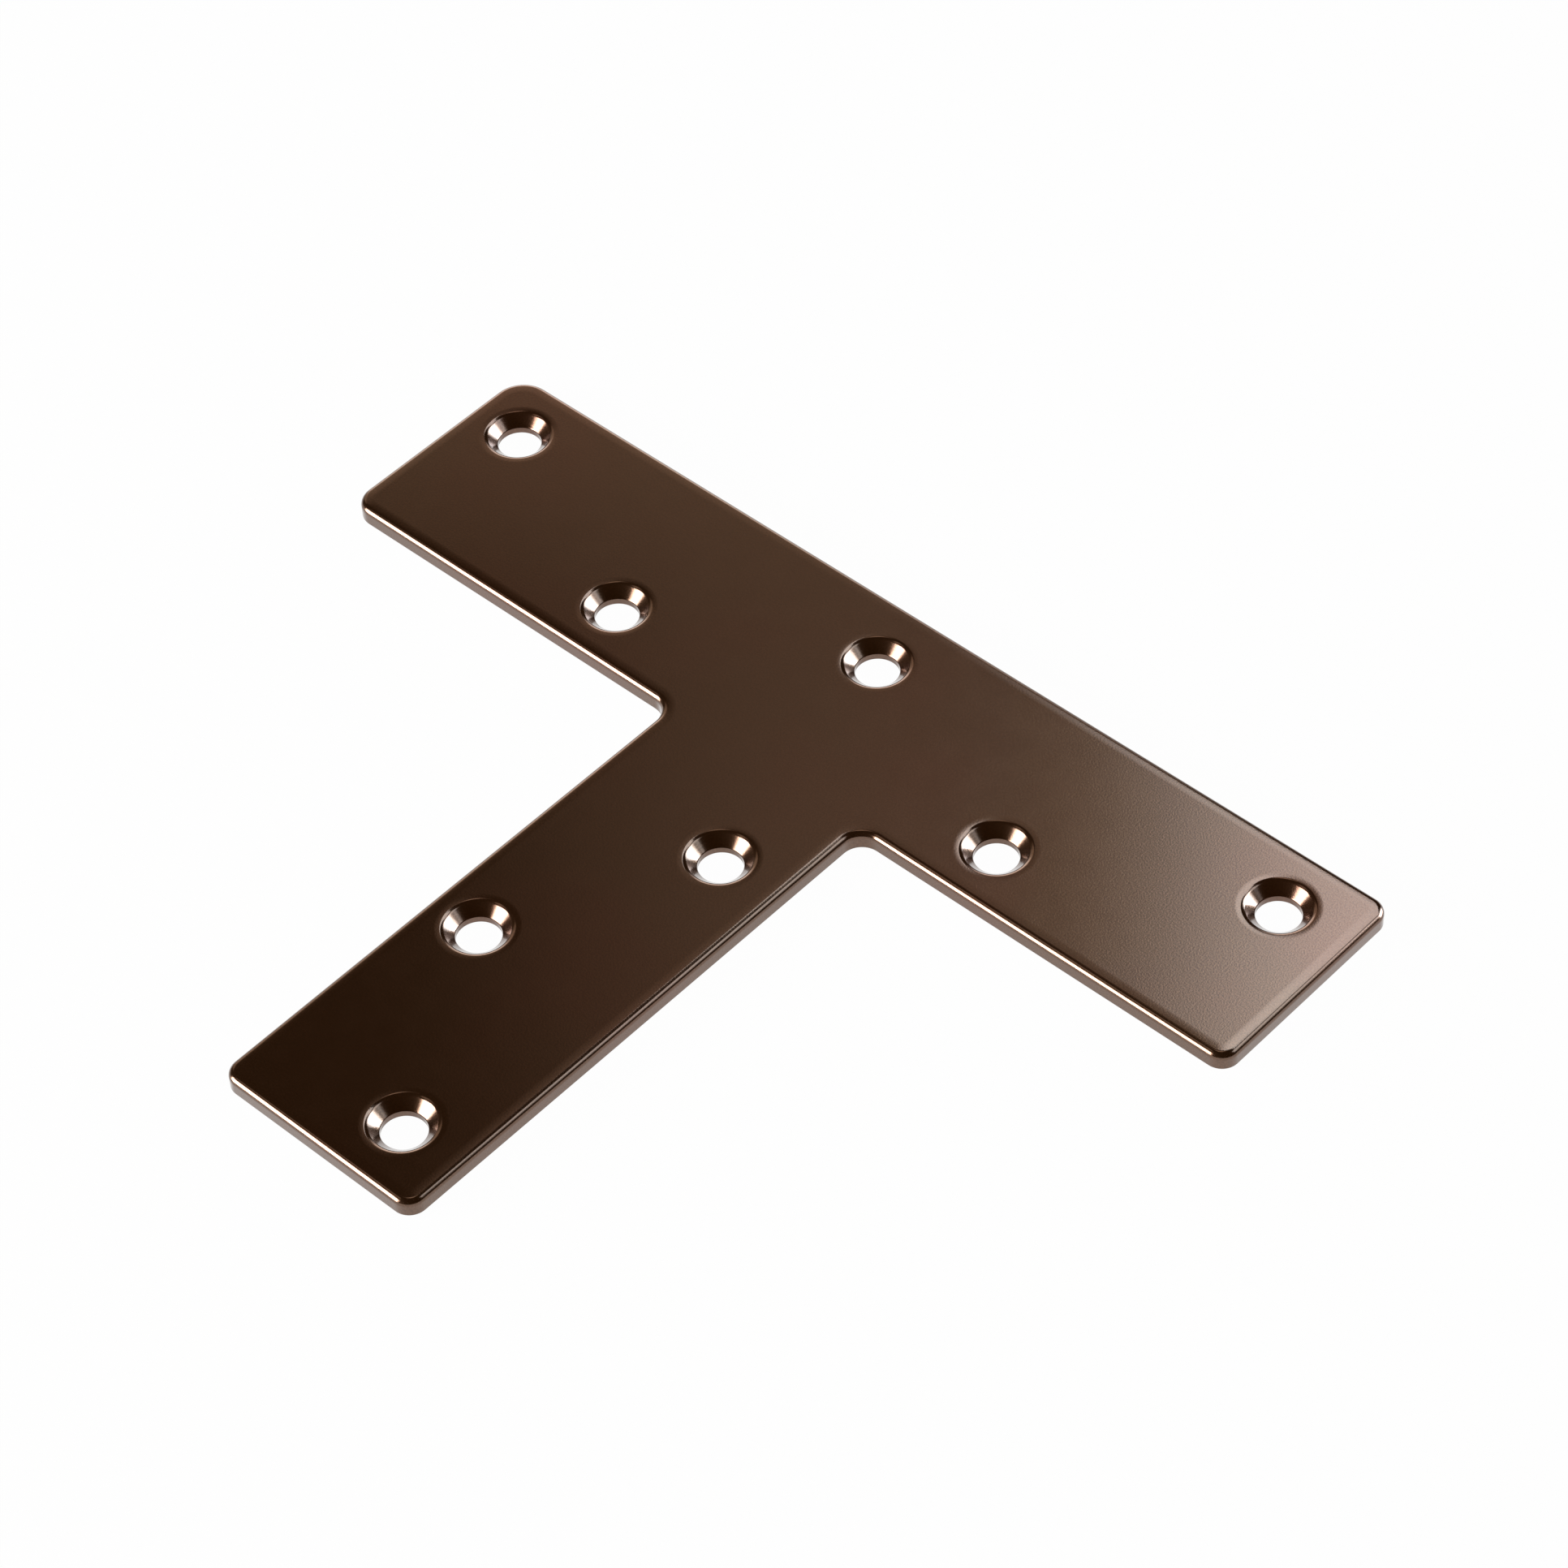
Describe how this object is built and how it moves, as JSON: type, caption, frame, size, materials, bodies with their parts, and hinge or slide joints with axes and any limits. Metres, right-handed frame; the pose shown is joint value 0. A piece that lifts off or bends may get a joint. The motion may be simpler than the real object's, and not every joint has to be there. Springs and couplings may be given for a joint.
{
  "type": "t-shaped mending plate",
  "caption": "Flat T-shaped steel plate with a dark bronze satin finish, rounded edges and countersunk screw holes, to join timber where two pieces meet.",
  "frame": {"origin": "under the middle of the plate's outer box, on the back face that lies against the timber", "axes": "+X along the crossbar, +Y from the leg towards the crossbar's long outer edge, +Z out of the countersunk face"},
  "size_m": [0.12, 0.09, 0.002],
  "materials": {
    "bronze_lacquer": "satin"
  },
  "bodies": {
    "root": {"t_plate": "bronze_lacquer"}
  },
  "joints": []
}
